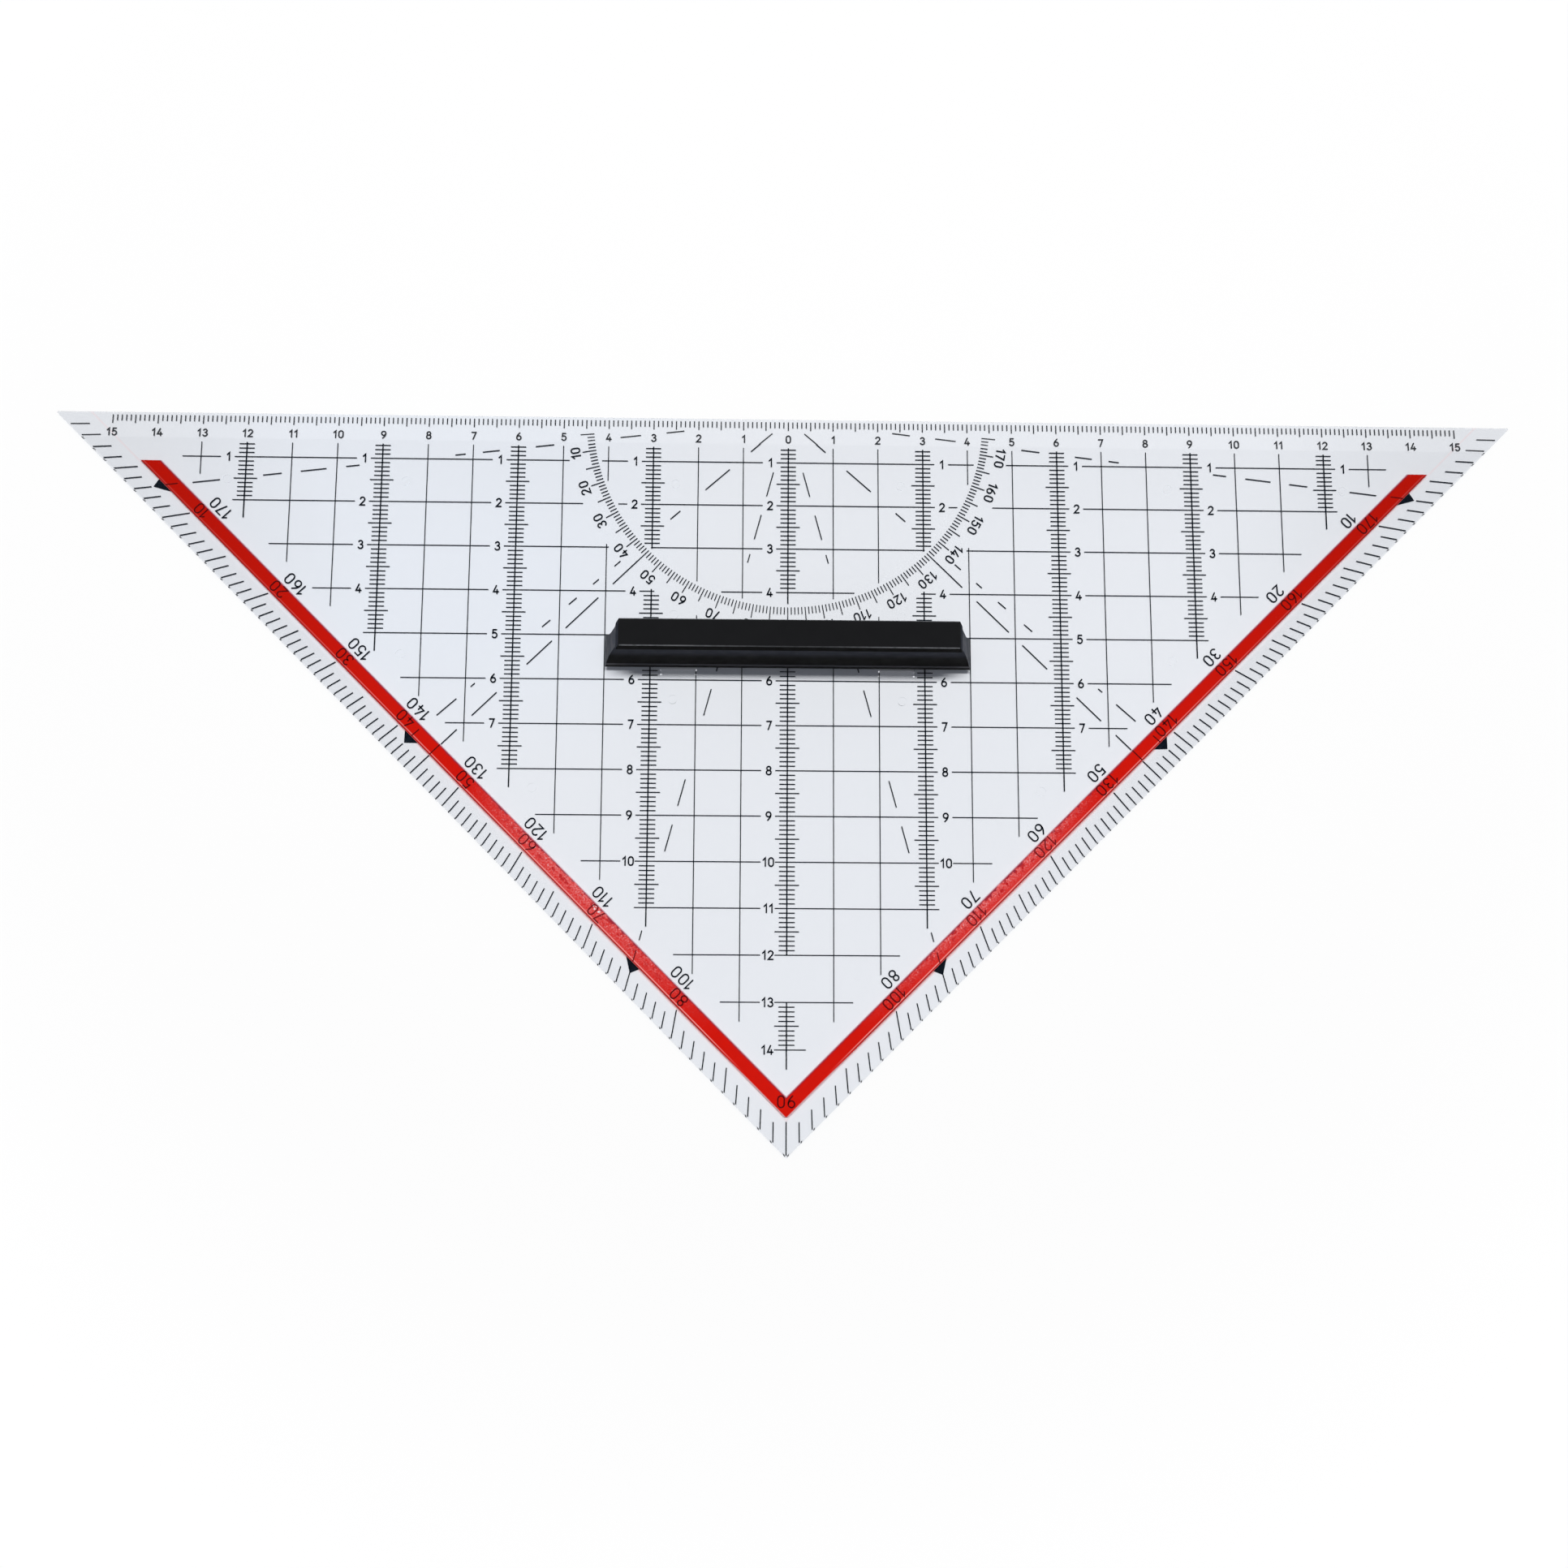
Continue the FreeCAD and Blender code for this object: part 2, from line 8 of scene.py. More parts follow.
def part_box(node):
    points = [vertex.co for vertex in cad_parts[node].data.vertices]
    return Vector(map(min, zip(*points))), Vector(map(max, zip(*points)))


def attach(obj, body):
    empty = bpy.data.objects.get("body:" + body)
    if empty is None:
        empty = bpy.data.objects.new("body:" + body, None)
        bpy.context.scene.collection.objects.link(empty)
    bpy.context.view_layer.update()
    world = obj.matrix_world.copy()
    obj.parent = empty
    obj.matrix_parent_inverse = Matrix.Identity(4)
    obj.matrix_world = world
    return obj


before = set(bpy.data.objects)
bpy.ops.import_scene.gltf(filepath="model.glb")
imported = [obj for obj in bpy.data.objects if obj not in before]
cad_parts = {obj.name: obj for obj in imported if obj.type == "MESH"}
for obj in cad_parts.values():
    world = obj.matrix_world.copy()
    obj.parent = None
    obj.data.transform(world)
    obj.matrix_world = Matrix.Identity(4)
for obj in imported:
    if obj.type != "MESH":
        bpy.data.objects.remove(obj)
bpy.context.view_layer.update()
MM = 0.001

# ---------------------------------------------------------------- sizes, in millimetres

# Where the prints lie: against the plate's underside, and against the groove's floor over the band.
GROOVE_GAP = 0.05        # from the band's top to the groove's floor
PRINT_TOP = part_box("ruler_scale")[1].z / MM
OVER_BAND_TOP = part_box("degree_band")[1].z / MM + GROOVE_GAP
INK_DEPTH = 0.02
INK_OVERLAP = 0.004      # a numeral is this much thinner, so that its faces never lie in a line's

HALF_EDGE = 162.5        # the zero point to either sharp corner, before the corners were rounded
GRID_PITCH = 10
GRID_REACH = 140         # column distance plus row depth of the outermost crossings
COMB_PITCH = 30          # every third column has millimetre marks and numerals

EDGE_NUMERALS_Y = -4.6
EDGE_NUMERAL_HEIGHT = 1.95
LAST_EDGE_NUMERAL = 15
ROW_NUMERAL_HEIGHT = 2.1
ROW_NUMERAL_OFFSET_LEFT = -4.0
ROW_NUMERAL_OFFSET_RIGHT = 4.2
RING_CLEAR = (42.4, 49.6)    # no row numeral stands between these radii, where the ring is
RING_NUMERAL_RADIUS = 48.0
RING_NUMERAL_HEIGHT = 2.2
LEG_NUMERAL_HEIGHT = 2.7
LEG_BAND_ROW_INSET = 7.55
LEG_INNER_ROW_INSET = 10.95
CORNER_NUMERAL_Y = -150.8
NUMERAL_STEP = 10        # in degrees, on the ring and the legs

NUMERAL_PEN = 0.30       # the stroke's width
DIGIT_GAP = 0.2          # between two digits, as a share of their height

# ---------------------------------------------------------------- node helpers


def new_material(name):
    """An empty node material and its tree."""
    material = bpy.data.materials.new(name)
    material.use_nodes = True
    material.node_tree.nodes.clear()
    return material, material.node_tree


def add(tree, kind, settings=None, **inputs):
    """A new shader node. settings are its own properties, inputs its sockets by name with _ for a space.
    A value is a number, a colour or another node's output."""
    node = tree.nodes.new("ShaderNode" + kind)
    for key, value in (settings or {}).items():
        setattr(node, key, value)
    for key, value in inputs.items():
        feed(tree, node, key.replace("_", " "), value)
    return node


def feed(tree, node, socket, value):
    """Sets or links one input of a node."""
    target = node.inputs[socket]
    if isinstance(value, bpy.types.NodeSocket):
        tree.links.new(value, target)
    else:
        target.default_value = value


def show(tree, shader, output="OutputMaterial"):
    """Makes a shader what its tree shows."""
    tree.links.new(shader.outputs[0], add(tree, output).inputs["Surface"])


def join_shaders(tree, kind, first, second, **inputs):
    """A node that mixes or adds two shaders."""
    node = add(tree, kind, **inputs)
    shaders = [socket for socket in node.inputs if socket.type == "SHADER"]
    tree.links.new(first.outputs[0], shaders[0])
    tree.links.new(second.outputs[0], shaders[1])
    return node


def maths(tree, operation, *values):
    """The output of a Math node, with its inputs in order."""
    node = add(tree, "Math", {"operation": operation})
    for index, value in enumerate(values):
        feed(tree, node, index, value)
    return node.outputs[0]


def product(tree, *shares):
    """All the shares multiplied."""
    result = shares[0]
    for share in shares[1:]:
        result = maths(tree, "MULTIPLY", result, share)
    return result


def smooth_step(tree, value, start, end, low=0.0, high=1.0):
    """A smooth change from low, where value is at start, to high, where it is at end."""
    node = add(tree, "MapRange", {"interpolation_type": "SMOOTHSTEP"}, Value=value,
               From_Min=start, From_Max=end, To_Min=low, To_Max=high)
    return node.outputs["Result"]


def fade(tree, value, start, end):
    """A smooth change from 1, where value is at start, to 0, where it is at end."""
    return smooth_step(tree, value, start, end, 1.0, 0.0)


def stretch(tree, value, rise, fall):
    """0 before rise, 1 from its end to the start of fall, and 0 after it. Both are (start, end) pairs."""
    return product(tree, smooth_step(tree, value, *rise), fade(tree, value, *fall))


def line_at(tree, value, middle, core, half):
    """1 within core of middle, fading to 0 at half."""
    off = maths(tree, "ABSOLUTE", maths(tree, "SUBTRACT", value, middle))
    return fade(tree, off, core, half)


def mix_colour(tree, share, first, second):
    """A colour from first at share 0 to second at share 1."""
    node = add(tree, "Mix", {"data_type": "RGBA"})
    factor, first_colour, second_colour, result = 0, 6, 7, 2     # sockets share names between the data types
    feed(tree, node, factor, share)
    feed(tree, node, first_colour, first)
    feed(tree, node, second_colour, second)
    return node.outputs[result]


def tinted(tree, colour, *tints):
    """A colour after each (share, tint) pair in turn."""
    for share, tint in tints:
        colour = mix_colour(tree, share, colour, tint)
    return colour


def place(tree):
    """The point's own place in the part's frame, in metres: every object sits at the origin."""
    return add(tree, "TexCoord").outputs["Object"]


def surface_normal(tree):
    """Which way the surface faces, in the part's frame."""
    return add(tree, "TexCoord").outputs["Normal"]


def xyz(tree, vector):
    """The three parts of a vector."""
    return add(tree, "SeparateXYZ", Vector=vector).outputs


def noise(tree, scale, detail=2.0, roughness=0.5, vector=None):
    """The value of a noise texture. scale is in cells to the metre."""
    node = add(tree, "TexNoise", Scale=scale, Detail=detail, Roughness=roughness)
    feed(tree, node, "Vector", vector or place(tree))
    return node.outputs["Fac"]


def bump(tree, height, distance, strength=1.0):
    """A normal from a height between 0 and 1. distance is in millimetres."""
    return add(tree, "Bump", Height=height, Distance=distance * MM, Strength=strength).outputs["Normal"]


def in_metres(pair):
    """A pair of millimetres in metres."""
    return pair[0] * MM, pair[1] * MM


def along_and_inset(tree):
    """For a point near a leg, in millimetres: its way along the leg from the ruling edge, and its inset from
    the leg's own edge."""
    x, y, _ = xyz(tree, place(tree))
    across = maths(tree, "SUBTRACT", HALF_EDGE * MM, maths(tree, "ABSOLUTE", x))
    scale = math.sqrt(0.5) / MM
    along = maths(tree, "MULTIPLY", maths(tree, "SUBTRACT", across, y), scale)
    inset = maths(tree, "MULTIPLY", maths(tree, "ADD", across, y), scale)
    return along, inset


# ---------------------------------------------------------------- materials

# Places are in millimetres, and a pair of them is the start and end of a smooth change. A way along a leg
# starts at the ruling edge, and an inset at the leg's own edge.
LEANS_45 = math.sqrt(0.5)        # the upright part of the normal on a face that leans 45 degrees

# Clear acrylic.
BLUER_X = (-60, -10)
BLUER_Y = (-85, -50)
# The GREY places below put painted shade on the sheet: greyer towards both tips, at the ruling edge and
# outside the band.
GREY_TIPS = (85, 155)            # off the middle
GREY_EDGE_Y = (-35, -5)
GREY_EDGE_SHARE = 0.22
GREY_OUTSIDE_INSET = (4.5, 5.5)
GREY_OUTSIDE_ALONG = (50, 190)
GREY_OUTSIDE_SHARES = (0.8, 0.08)    # at those two ways along
# The HALO places paint the strip's red glow into the sheet beside it: painted light, not a tint of the sheet.
HALO_INSETS = ((5.1, 5.6), (5.65, 5.75))     # the strip's red shows in the sheet beside it
HALO_GROWS = (60, 150)
HALO_GROWN = (0.3, 1.0)
HALO_SHRINKS = (195, 215)
HALO_SHRUNK = (1.0, 0.4)
# The DARK_EDGE places put painted shade along the left leg's edge near the right-angle corner.
DARK_EDGE_INSET = (0.05, 0.16)
DARK_EDGE_ALONG = (170, 215)
LEFT_OF_CORNER_X = (-0.5, 0)
# Upright walls and 45-degree bevels get painted shade, by how upright their normal is.
WALL_LEANS = (0.1, 0.4)          # the upright part of a wall's normal
WIPED_AT = 0.6                   # how the wiping scratches run, in radians
WIPED_LONG = 14.0                # their length over their width
SCRATCH_SHARE = 0.02             # of the ripple's height
RIPPLE_HEIGHT = 0.02
ACRYLIC_IOR = 1.49
DEEPEST_BEND = 3                 # a ray that has bounced more often goes straight on through the acrylic


def acrylic_cast(tree):
    """The clear sheet's tint: faintly blue, most of all towards the left tip, with painted light on top:
    painted shade greys it towards both tips, at the ruling edge and outside the band, and a painted red glow
    from the strip lies beside it. Upright walls and bevels get painted shade, and so does the left leg's edge
    near the right-angle corner."""
    x, y, _ = xyz(tree, place(tree))
    along, inset = along_and_inset(tree)
    upright = maths(tree, "ABSOLUTE", xyz(tree, surface_normal(tree))[2])
    bluer = product(tree, fade(tree, x, *in_metres(BLUER_X)), smooth_step(tree, y, *in_metres(BLUER_Y)))
    near_tips = smooth_step(tree, maths(tree, "ABSOLUTE", x), *in_metres(GREY_TIPS))
    near_edge = smooth_step(tree, y, *in_metres(GREY_EDGE_Y), 0.0, GREY_EDGE_SHARE)
    outside_band = product(tree, fade(tree, inset, *GREY_OUTSIDE_INSET),
                           smooth_step(tree, along, *GREY_OUTSIDE_ALONG, *GREY_OUTSIDE_SHARES))
    painted_shade = maths(tree, "MAXIMUM", maths(tree, "MAXIMUM", near_tips, near_edge), outside_band)
    painted_red_glow = product(tree, stretch(tree, inset, *HALO_INSETS),
                   smooth_step(tree, along, *HALO_GROWS, *HALO_GROWN),
                   smooth_step(tree, along, *HALO_SHRINKS, *HALO_SHRUNK))
    left_leg = fade(tree, x, *in_metres(LEFT_OF_CORNER_X))
    dark_edge = product(tree, left_leg, fade(tree, inset, *DARK_EDGE_INSET),
                        smooth_step(tree, along, *DARK_EDGE_ALONG))
    plain = mix_colour(tree, noise(tree, 18.0), (0.925, 0.94, 0.975, 1), (0.935, 0.95, 0.985, 1))
    # The grey, dark edge, wall and bevel tints are painted shade; the pink is a painted red glow.
    return tinted(
        tree, plain,
        (bluer, (0.915, 0.945, 1.0, 1)),
        (painted_shade, (0.82, 0.832, 0.86, 1)),
        (painted_red_glow, (0.95, 0.62, 0.62, 1)),
        (dark_edge, (0.35, 0.33, 0.36, 1)),
        (fade(tree, upright, *WALL_LEANS), (0.80, 0.83, 0.86, 1)),
        (line_at(tree, upright, LEANS_45, 0.05, 0.15), (0.84, 0.85, 0.875, 1)),
    )


def acrylic_ripple(tree):
    """The clear sheet's normal: a slow ripple with fine wiping scratches."""
    wiped = add(tree, "Mapping", Vector=place(tree), Rotation=(0, 0, WIPED_AT), Scale=(1.0, WIPED_LONG, 1.0))
    scratches = smooth_step(tree, noise(tree, 260.0, 5.0, 0.6, wiped.outputs[0]), 0.6, 0.75)
    ripple = noise(tree, 30.0, 1.0)
    height = maths(tree, "ADD", maths(tree, "MULTIPLY", scratches, SCRATCH_SHARE), ripple)
    return bump(tree, height, RIPPLE_HEIGHT)


def clear_acrylic():
    """Clear sheet. Lamps reach what is under it, and so does a ray that has bounced too often inside it."""
    material, tree = new_material("clear_acrylic")
    glass = add(tree, "BsdfPrincipled", Base_Color=acrylic_cast(tree), Roughness=0.02, IOR=ACRYLIC_IOR,
                Transmission_Weight=1.0, Normal=acrylic_ripple(tree))
    open_way = add(tree, "BsdfTransparent", Color=(0.968, 0.975, 0.985, 1))
    path = add(tree, "LightPath")
    lost = maths(tree, "GREATER_THAN", path.outputs["Ray Depth"], DEEPEST_BEND)
    lights = maths(tree, "MAXIMUM", path.outputs["Is Shadow Ray"], path.outputs["Is Diffuse Ray"])
    show(tree, join_shaders(tree, "MixShader", glass, open_way, Fac=maths(tree, "MAXIMUM", lights, lost)))
    return material


# Red strip: insets, from the outer side to the inner one.
# The fades, lines and rim at these insets are painted light: pale glows at both edges, a painted dark line
# and a painted highlight line along the outer flank, and painted shade along the inner rim.
OUTER_FADE = (5.62, 5.86)
DARK_LINE = 5.90
BRIGHT_LINE = 6.20
MOTTLED_INSET = (6.4, 8.4)
SPOTTED_INSET = (6.6, 7.6)
GLINTS_INSET = (7.6, 7.9)
DARK_RIM = (8.50, 8.75)
INNER_FADE = (8.78, 8.95)
OUTER_SHIFT = -0.2               # of the outer fade at the right-angle corner
# Red strip: ways along the leg.
REDDER = (30, 140)
# Where the strip lies loose, a painted reflection off the air gap pales it, with painted haze, sparkle and
# glints.
LOOSE = ((122, 150), (160, 202))     # where the strip doesn't quite touch its groove
GLINTS_ALONG = 164
FLANK_GROWS = (60, 150)
FLANK_ENDS = (197, 212)
OUTER_SHIFTS = (202, 215)
RAGGED_GROWS = (110, 140)
RAGGED_SHRINKS = (155, 205)
# Red strip: relief.
STRIP_BUMPS = 0.03


def strip_sides(tree, along, inset):
    """Painted light on the strip's two sides: on the outer one a painted pale glow at the edge, a painted
    dark line of shade and a painted highlight line along the groove's flank, and on the inner one painted
    shade along a ragged rim with a painted pale glow at the edge."""
    off_corner = fade(tree, along, *FLANK_ENDS)
    flank = product(tree, smooth_step(tree, along, *FLANK_GROWS, 0.15, 0.95), off_corner)
    outer = maths(tree, "ADD", inset, smooth_step(tree, along, *OUTER_SHIFTS, 0.0, OUTER_SHIFT))
    ragged = product(tree, smooth_step(tree, along, *RAGGED_GROWS, 0.3, 1.6),
                     smooth_step(tree, along, *RAGGED_SHRINKS, 1.0, 0.2))
    wander = product(tree, maths(tree, "SUBTRACT", noise(tree, 900.0, 3.0), 0.5), ragged)
    dark_line = product(tree, line_at(tree, inset, DARK_LINE, 0.07, 0.20), off_corner)
    dark_rim = smooth_step(tree, maths(tree, "ADD", inset, wander), *DARK_RIM)
    # Painted shade on the dark line and the rim, a painted highlight on the bright line, painted glows at
    # both edges.
    return (
        (product(tree, dark_line, 0.8), (0.40, 0.012, 0.010, 1)),
        (product(tree, line_at(tree, inset, BRIGHT_LINE, 0.06, 0.17), flank), (0.98, 0.30, 0.27, 1)),
        (smooth_step(tree, outer, *OUTER_FADE, 0.7, 0.0), (0.80, 0.60, 0.60, 1)),
        (product(tree, dark_rim, 0.75), (0.30, 0.030, 0.055, 1)),
        (smooth_step(tree, inset, *INNER_FADE, 0.0, 0.7), (0.82, 0.60, 0.66, 1)),
    )


def strip_mottling(tree, along, inset):
    """Tints where the strip lies loose: a painted reflection off the air gap, which pales the red and adds
    painted haze and sparkle; deep red spots where it touches; and a few painted glints on the left leg."""
    left = fade(tree, xyz(tree, place(tree))[0], -MM, MM)
    loose = stretch(tree, along, *LOOSE)
    outer_side = maths(tree, "MULTIPLY_ADD", left, 0.35, 0.1)
    mottled = product(tree, loose, smooth_step(tree, inset, *MOTTLED_INSET, outer_side, 1.0))
    painted_haze = smooth_step(tree, noise(tree, 2600.0, 4.0, 0.7), 0.36, 0.64)
    painted_sparkle = smooth_step(tree, noise(tree, 3300.0, 2.0), 0.60, 0.69)
    spots = smooth_step(tree, noise(tree, 900.0, 2.0), 0.54, 0.60)
    spotted = product(tree, loose, smooth_step(tree, inset, *SPOTTED_INSET), spots)
    painted_glints = product(tree, smooth_step(tree, noise(tree, 1500.0, 1.0), 0.55, 0.59), left,
                     smooth_step(tree, inset, *GLINTS_INSET), line_at(tree, along, GLINTS_ALONG, 1.0, 1.8))
    # The first tint, the haze, the sparkle and the glints are painted reflection; the deep red spots are the
    # strip's own colour.
    return (
        (product(tree, loose, 0.55), (0.82, 0.045, 0.040, 1)),
        (product(tree, mottled, painted_haze, 0.85), (0.92, 0.22, 0.21, 1)),
        (product(tree, mottled, painted_sparkle, 0.8), (1.0, 0.55, 0.55, 1)),
        (product(tree, spotted, 0.8), (0.54, 0.006, 0.010, 1)),
        (painted_glints, (1.0, 0.85, 0.85, 1)),
    )


def red_strip():
    """Opaque red strip in its groove, faintly clouded. It is brighter red towards the right-angle corner."""
    material, tree = new_material("red_strip")
    along, inset = along_and_inset(tree)
    cloud = noise(tree, 900.0, 3.0)
    redder = smooth_step(tree, along, *REDDER)
    plain = mix_colour(tree, redder, (0.60, 0.0070, 0.0012, 1), (0.75, 0.0085, 0.0025, 1))
    colour = tinted(tree, plain, (product(tree, cloud, 0.2), (0.42, 0.004, 0.002, 1)),
                    *strip_mottling(tree, along, inset), *strip_sides(tree, along, inset))
    show(tree, add(tree, "BsdfPrincipled", Base_Color=colour, Roughness=0.5, Specular_IOR_Level=0.01,
                   Normal=bump(tree, cloud, STRIP_BUMPS)))
    return material


# Black moulding, with heights below the grip's top.
LIP_BOTTOM = 3.2
# Painted light by height: painted shade on the lip's side and the foot, a painted bluish reflection on the
# waist, and a painted highlight line on the ledge.
LIP_SIDE = (LIP_BOTTOM - 0.4, LIP_BOTTOM + 0.4)
WAIST = ((LIP_BOTTOM, LIP_BOTTOM + 1.0), (8.0, 11.5))
FOOT = (9.5, 12.0)
LEDGE = 14.7
STEEP_SIDE = (0.3, 0.5)          # the upright part of a side's normal
# End faces get a painted bluish reflection.
END_FACE = (0.8, 0.95)           # the sideways part of an end face's normal
# The painted highlight along the chamfered edges grows towards the ends.
NEAR_END = (4, 28)               # off the middle
GRAIN_HEIGHT = 0.02


def black_moulding():
    """Black moulded plastic with a fine spark-eroded grain, and painted light: painted shade on the lip's
    side and the foot, a painted bluish reflection on the waist and the end faces, and a painted highlight
    along the chamfered edges, most of all towards the ends, and along the ledge."""
    material, tree = new_material("black_moulding")
    x, _, z = xyz(tree, place(tree))
    nx, _, nz = xyz(tree, surface_normal(tree))
    below_top = maths(tree, "MULTIPLY", maths(tree, "SUBTRACT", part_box("grip")[1].z, z), 1 / MM)
    side = fade(tree, nz, *STEEP_SIDE)
    lip_side = product(tree, side, fade(tree, below_top, *LIP_SIDE))
    foot = product(tree, side, smooth_step(tree, below_top, *FOOT))
    near_end = smooth_step(tree, maths(tree, "ABSOLUTE", x), *in_metres(NEAR_END), 0.35, 1.0)
    painted_highlight = product(tree, line_at(tree, nz, LEANS_45, 0.02, 0.06), near_end,
                     smooth_step(tree, noise(tree, 900.0, 3.0), 0.2, 0.6, 0.5, 1.0))
    end_face = smooth_step(tree, maths(tree, "ABSOLUTE", nx), *END_FACE)
    plain = mix_colour(tree, noise(tree, 160.0), (0.0078, 0.0080, 0.0088, 1), (0.0098, 0.0101, 0.0110, 1))
    # Beyond the plain black, these tints are painted light: reflections on the waist and end faces, shade on
    # the lip's side and foot, highlights on the edges and the ledge.
    colour = tinted(
        tree, plain,
        (stretch(tree, below_top, *WAIST), (0.024, 0.027, 0.038, 1)),
        (lip_side, (0.0010, 0.0010, 0.0010, 1)),
        (foot, (0.0040, 0.0040, 0.0044, 1)),
        (painted_highlight, (0.13, 0.135, 0.145, 1)),
        (line_at(tree, below_top, LEDGE, 0.08, 0.24), (0.085, 0.085, 0.095, 1)),
        (product(tree, end_face, 0.6), (0.012, 0.017, 0.032, 1)),
    )
    rough = smooth_step(tree, noise(tree, 420.0, 3.0), 0.3, 0.7, 0.70, 0.80)
    rough = maths(tree, "MULTIPLY_ADD", end_face, -0.25, rough)
    rough = maths(tree, "MULTIPLY_ADD", lip_side, 0.25, rough)
    grain = noise(tree, 5200.0, 4.0, 0.6)
    show(tree, add(tree, "BsdfPrincipled", Base_Color=colour, Roughness=rough, IOR=1.5,
                   Specular_IOR_Level=0.09, Normal=bump(tree, grain, GRAIN_HEIGHT, 0.6)))
    return material


# Printed ink.
# Where the strip under the ink lies loose, a painted reflection off the air gap lightens the ink over it.
RED_BRIGHTENS = ((124, 145), (165, 200))     # along the leg, where the strip under the ink lies loose
FULL_RED_BELOW = 0.1             # this far under the higher ink's top and above it, all its red shows
INK_BUMPS = 0.005


def printed_ink():
    """Screen-printed ink, a little thinner in places. Over the red strip, where it lies higher, red shows
    through, lightened by a painted reflection where the strip lies loose."""
    material, tree = new_material("printed_ink")
    cover = smooth_step(tree, noise(tree, 1900.0, 3.0, 0.6), 0.3, 0.6)
    on_clear = mix_colour(tree, cover, (0.007, 0.013, 0.021, 1), (0.003, 0.006, 0.011, 1))
    on_red = mix_colour(tree, cover, (0.15, 0.005, 0.006, 1), (0.085, 0.003, 0.004, 1))
    along, _ = along_and_inset(tree)
    # Painted reflection off the loose strip's air gap.
    loose = stretch(tree, along, *RED_BRIGHTENS)
    on_red = mix_colour(tree, product(tree, loose, 0.5), on_red, (0.30, 0.022, 0.028, 1))
    z = xyz(tree, place(tree))[2]
    over_band = smooth_step(tree, z, PRINT_TOP * MM, (OVER_BAND_TOP - FULL_RED_BELOW) * MM)
    colour = mix_colour(tree, over_band, on_clear, on_red)
    show(tree, add(tree, "BsdfPrincipled", Base_Color=colour, Roughness=0.6, Specular_IOR_Level=0.03,
                   Normal=bump(tree, noise(tree, 7000.0, 2.0), INK_BUMPS)))
    return material


# ---------------------------------------------------------------- numerals

ARC_STEP = 18                    # degrees between two points of an arc, at most
ROUND_END_STEPS = (35, 65, 84)   # degrees round a stroke's end
WIDEST_CORNER = 0.45             # a stroke widens at a corner by up to one over this


def arc(centre, radius, start, end):
    """Points on an ellipse from angle start to angle end, in degrees. radius is (across, up)."""
    steps = max(2, math.ceil(abs(end - start) / ARC_STEP))
    angles = [math.radians(start + (end - start) * step / steps) for step in range(steps + 1)]
    return [(centre[0] + radius[0] * math.cos(a), centre[1] + radius[1] * math.sin(a)) for a in angles]


def loop(centre, radius):
    """A closed ellipse, without its last point again."""
    return arc(centre, radius, 0, 360)[:-1]


def tall_loop(width, bow):
    """A closed upright oval of height 1 with straight sides and bows of that height."""
    half = width / 2
    return arc((half, 1 - bow), (half, bow), 0, 180) + arc((half, bow), (half, bow), 180, 360)


# Each digit is written with a round pen: its width, its open strokes and its closed ones, for a height of 1.
ROUND = 0.56             # the width of the round digits
DIGITS = {
    "0": (ROUND, [], [tall_loop(ROUND, 0.30)]),
    "1": (0.26, [[(0.0, 0.74), (0.26, 1.0), (0.26, 0.0)]], []),
    "2": (ROUND, [arc((0.28, 0.73), (0.27, 0.27), 165, -38) + [(0.0, 0.0), (ROUND, 0.0)]], []),
    "3": (ROUND, [arc((0.27, 0.765), (0.235, 0.235), 155, -90),
                  arc((0.27, 0.265), (0.285, 0.265), 90, -155)], []),
    "4": (0.60, [[(0.34, 1.0), (0.0, 0.24), (0.60, 0.24)], [(0.43, 0.50), (0.43, 0.0)]], []),
    "5": (ROUND, [[(0.50, 1.0), (0.10, 1.0), (0.06, 0.56)] + arc((0.27, 0.32), (0.29, 0.32), 128, -150)], []),
    "6": (ROUND, [[(0.38, 1.0)] + arc((0.50, 0.30), (0.50, 0.62), 128, 180)],
          [loop((0.28, 0.29), (0.28, 0.29))]),
    "7": (0.54, [[(0.0, 1.0), (0.54, 1.0), (0.18, 0.0)]], []),
    "8": (ROUND, [], [loop((0.28, 0.765), (0.235, 0.235)), loop((0.28, 0.265), (0.28, 0.265))]),
}
NINE_TURNS = "6"         # a nine is a six turned half a turn


def turned(points, width):
    """Points of a digit turned half a turn within its box."""
    return [(width - x, 1 - y) for x, y in points]


def digit(character):
    """The width, open strokes and closed strokes of one digit."""
    if character != "9":
        return DIGITS[character]
    width, open_strokes, closed_strokes = DIGITS[NINE_TURNS]
    return width, [turned(s, width) for s in open_strokes], [turned(s, width) for s in closed_strokes]


def written(text, height):
    """The strokes of a text, in millimetres and centred on the origin: (points, closed) pairs."""
    tall = height - NUMERAL_PEN
    strokes, across = [], 0.0
    for character in text:
        width, open_strokes, closed_strokes = digit(character)
        for points, closed in [(s, False) for s in open_strokes] + [(s, True) for s in closed_strokes]:
            strokes.append(([(across + x * tall, (y - 0.5) * tall) for x, y in points], closed))
        across += width * tall + NUMERAL_PEN + DIGIT_GAP * height
    middle = (across - NUMERAL_PEN - DIGIT_GAP * height) / 2
    return [([(x - middle, y) for x, y in points], closed) for points, closed in strokes]


def sideways(before, point, after):
    """Which way a ribbon widens at a point: across its run, and further at a corner."""
    runs = [(b - a).normalized() for a, b in ((before, point), (point, after)) if b != a]
    middle = sum(runs, Vector((0, 0))).normalized()
    reach = 1 / max(middle.dot(runs[0]), WIDEST_CORNER)
    return Vector((-middle.y, middle.x)) * reach


def round_end(end, outward, side, half):
    """(left, right) edge points beyond a stroke's end, each pair closer together than the last."""
    made = []
    for degrees in ROUND_END_STEPS:
        middle = end + outward * math.sin(math.radians(degrees)) * half
        reach = side * math.cos(math.radians(degrees)) * half
        made.append((middle + reach, middle - reach))
    return made


